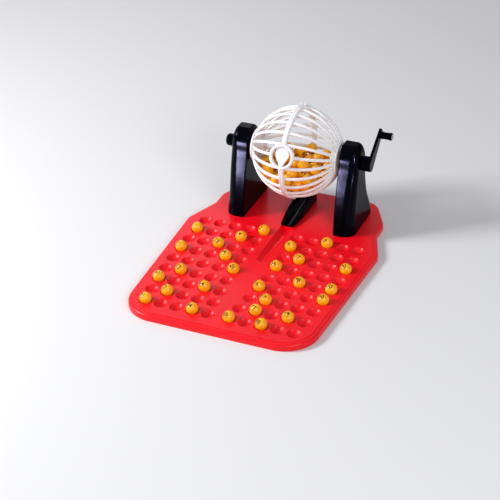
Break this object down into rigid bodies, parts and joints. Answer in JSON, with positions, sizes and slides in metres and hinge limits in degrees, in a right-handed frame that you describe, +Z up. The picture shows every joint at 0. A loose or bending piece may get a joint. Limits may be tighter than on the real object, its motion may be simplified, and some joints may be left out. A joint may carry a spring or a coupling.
{
  "type": "bingo cage",
  "caption": "Hand-cranked tabletop bingo machine: open ball cage between two towers, release port, ramp and numbered socket tray.",
  "frame": {"origin": "on the table plane, under the middle of the tray's length and width", "axes": "+X towards the crank, +Y from the player's edge of the tray to the cage end, +Z up"},
  "size_m": [0.1944, 0.2565, 0.1186],
  "materials": {
    "tray": "glossy red moulded styrene",
    "black": "glossy black moulded plastic",
    "white": "glossy white moulded plastic",
    "ball": "glossy yellow-orange hollow-look ball",
    "steel": "plain zinc-plated steel"
  },
  "bodies": {
    "machine_base": {"base_tray": "tray", "ball_ramp": "black", "right_tower_shell": "black", "right_tower_cover": "black", "left_tower_shell": "black", "left_tower_cover": "black", "tower_cover_screws": "steel", "tower_base_screws": "steel"},
    "cage": {"cage_ring_left": "white", "cage_ring_right": "white", "cage_bars_left": "white", "cage_bars_right": "white", "cage_end_left": "white", "cage_end_right": "white", "cage_clip_pins": "white", "gate_pin": "steel", "left_axle_knob": "black", "crank": "black", "grip_screw": "steel"},
    "gate": {"ball_gate": "white"},
    "grip": {"crank_grip": "black"},
    "ball_heap": {"cage_balls": "ball"},
    "ball_05_body": {"ball_05": "ball"},
    "ball_08_body": {"ball_08": "ball"},
    "ball_11_body": {"ball_11": "ball"},
    "ball_14_body": {"ball_14": "ball"},
    "ball_16_body": {"ball_16": "ball"},
    "ball_23_body": {"ball_23": "ball"},
    "ball_27_body": {"ball_27": "ball"},
    "ball_30_body": {"ball_30": "ball"},
    "ball_31_body": {"ball_31": "ball"},
    "ball_34_body": {"ball_34": "ball"},
    "ball_36_body": {"ball_36": "ball"},
    "ball_45_body": {"ball_45": "ball"},
    "ball_48_body": {"ball_48": "ball"},
    "ball_50_body": {"ball_50": "ball"},
    "ball_52_body": {"ball_52": "ball"},
    "ball_56_body": {"ball_56": "ball"},
    "ball_60_body": {"ball_60": "ball"},
    "ball_61_body": {"ball_61": "ball"},
    "ball_64_body": {"ball_64": "ball"},
    "ball_67_body": {"ball_67": "ball"},
    "ball_72_body": {"ball_72": "ball"},
    "ball_77_body": {"ball_77": "ball"},
    "ball_79_body": {"ball_79": "ball"},
    "ball_81_body": {"ball_81": "ball"},
    "ball_84_body": {"ball_84": "ball"},
    "ball_86_body": {"ball_86": "ball"},
    "ball_88_body": {"ball_88": "ball"}
  },
  "joints": [
    {"name": "cage_spin", "type": "hinge", "parent": "machine_base", "child": "cage", "pos_m": [0, 0.0836, 0.0732], "axis": [1, 0, 0], "continuous": true},
    {"name": "gate_swing", "type": "hinge", "parent": "cage", "child": "gate", "pos_m": [0, 0.03991, 0.08019], "axis": [1, 0, 0], "range_deg": [0, 40]},
    {"name": "grip_spin", "type": "hinge", "parent": "cage", "child": "grip", "pos_m": [0.08, 0.10803, 0.09229], "axis": [1, 0, 0], "continuous": true},
    {"name": "heap_swing", "type": "hinge", "parent": "machine_base", "child": "ball_heap", "pos_m": [0, 0.0836, 0.0732], "axis": [1, 0, 0], "range_deg": [-30, 30]},
    {"name": "ball_05_lift", "type": "slide", "parent": "machine_base", "child": "ball_05_body", "axis": [0, 0, 1], "range_m": [0, 0.03]},
    {"name": "ball_08_lift", "type": "slide", "parent": "machine_base", "child": "ball_08_body", "axis": [0, 0, 1], "range_m": [0, 0.03]},
    {"name": "ball_11_lift", "type": "slide", "parent": "machine_base", "child": "ball_11_body", "axis": [0, 0, 1], "range_m": [0, 0.03]},
    {"name": "ball_14_lift", "type": "slide", "parent": "machine_base", "child": "ball_14_body", "axis": [0, 0, 1], "range_m": [0, 0.03]},
    {"name": "ball_16_lift", "type": "slide", "parent": "machine_base", "child": "ball_16_body", "axis": [0, 0, 1], "range_m": [0, 0.03]},
    {"name": "ball_23_lift", "type": "slide", "parent": "machine_base", "child": "ball_23_body", "axis": [0, 0, 1], "range_m": [0, 0.03]},
    {"name": "ball_27_lift", "type": "slide", "parent": "machine_base", "child": "ball_27_body", "axis": [0, 0, 1], "range_m": [0, 0.03]},
    {"name": "ball_30_lift", "type": "slide", "parent": "machine_base", "child": "ball_30_body", "axis": [0, 0, 1], "range_m": [0, 0.03]},
    {"name": "ball_31_lift", "type": "slide", "parent": "machine_base", "child": "ball_31_body", "axis": [0, 0, 1], "range_m": [0, 0.03]},
    {"name": "ball_34_lift", "type": "slide", "parent": "machine_base", "child": "ball_34_body", "axis": [0, 0, 1], "range_m": [0, 0.03]},
    {"name": "ball_36_lift", "type": "slide", "parent": "machine_base", "child": "ball_36_body", "axis": [0, 0, 1], "range_m": [0, 0.03]},
    {"name": "ball_45_lift", "type": "slide", "parent": "machine_base", "child": "ball_45_body", "axis": [0, 0, 1], "range_m": [0, 0.03]},
    {"name": "ball_48_lift", "type": "slide", "parent": "machine_base", "child": "ball_48_body", "axis": [0, 0, 1], "range_m": [0, 0.03]},
    {"name": "ball_50_lift", "type": "slide", "parent": "machine_base", "child": "ball_50_body", "axis": [0, 0, 1], "range_m": [0, 0.03]},
    {"name": "ball_52_lift", "type": "slide", "parent": "machine_base", "child": "ball_52_body", "axis": [0, 0, 1], "range_m": [0, 0.03]},
    {"name": "ball_56_lift", "type": "slide", "parent": "machine_base", "child": "ball_56_body", "axis": [0, 0, 1], "range_m": [0, 0.03]},
    {"name": "ball_60_lift", "type": "slide", "parent": "machine_base", "child": "ball_60_body", "axis": [0, 0, 1], "range_m": [0, 0.03]},
    {"name": "ball_61_lift", "type": "slide", "parent": "machine_base", "child": "ball_61_body", "axis": [0, 0, 1], "range_m": [0, 0.03]},
    {"name": "ball_64_lift", "type": "slide", "parent": "machine_base", "child": "ball_64_body", "axis": [0, 0, 1], "range_m": [0, 0.03]},
    {"name": "ball_67_lift", "type": "slide", "parent": "machine_base", "child": "ball_67_body", "axis": [0, 0, 1], "range_m": [0, 0.03]},
    {"name": "ball_72_lift", "type": "slide", "parent": "machine_base", "child": "ball_72_body", "axis": [0, 0, 1], "range_m": [0, 0.03]},
    {"name": "ball_77_lift", "type": "slide", "parent": "machine_base", "child": "ball_77_body", "axis": [0, 0, 1], "range_m": [0, 0.03]},
    {"name": "ball_79_lift", "type": "slide", "parent": "machine_base", "child": "ball_79_body", "axis": [0, 0, 1], "range_m": [0, 0.03]},
    {"name": "ball_81_lift", "type": "slide", "parent": "machine_base", "child": "ball_81_body", "axis": [0, 0, 1], "range_m": [0, 0.03]},
    {"name": "ball_84_lift", "type": "slide", "parent": "machine_base", "child": "ball_84_body", "axis": [0, 0, 1], "range_m": [0, 0.03]},
    {"name": "ball_86_lift", "type": "slide", "parent": "machine_base", "child": "ball_86_body", "axis": [0, 0, 1], "range_m": [0, 0.03]},
    {"name": "ball_88_lift", "type": "slide", "parent": "machine_base", "child": "ball_88_body", "axis": [0, 0, 1], "range_m": [0, 0.03]}
  ]
}
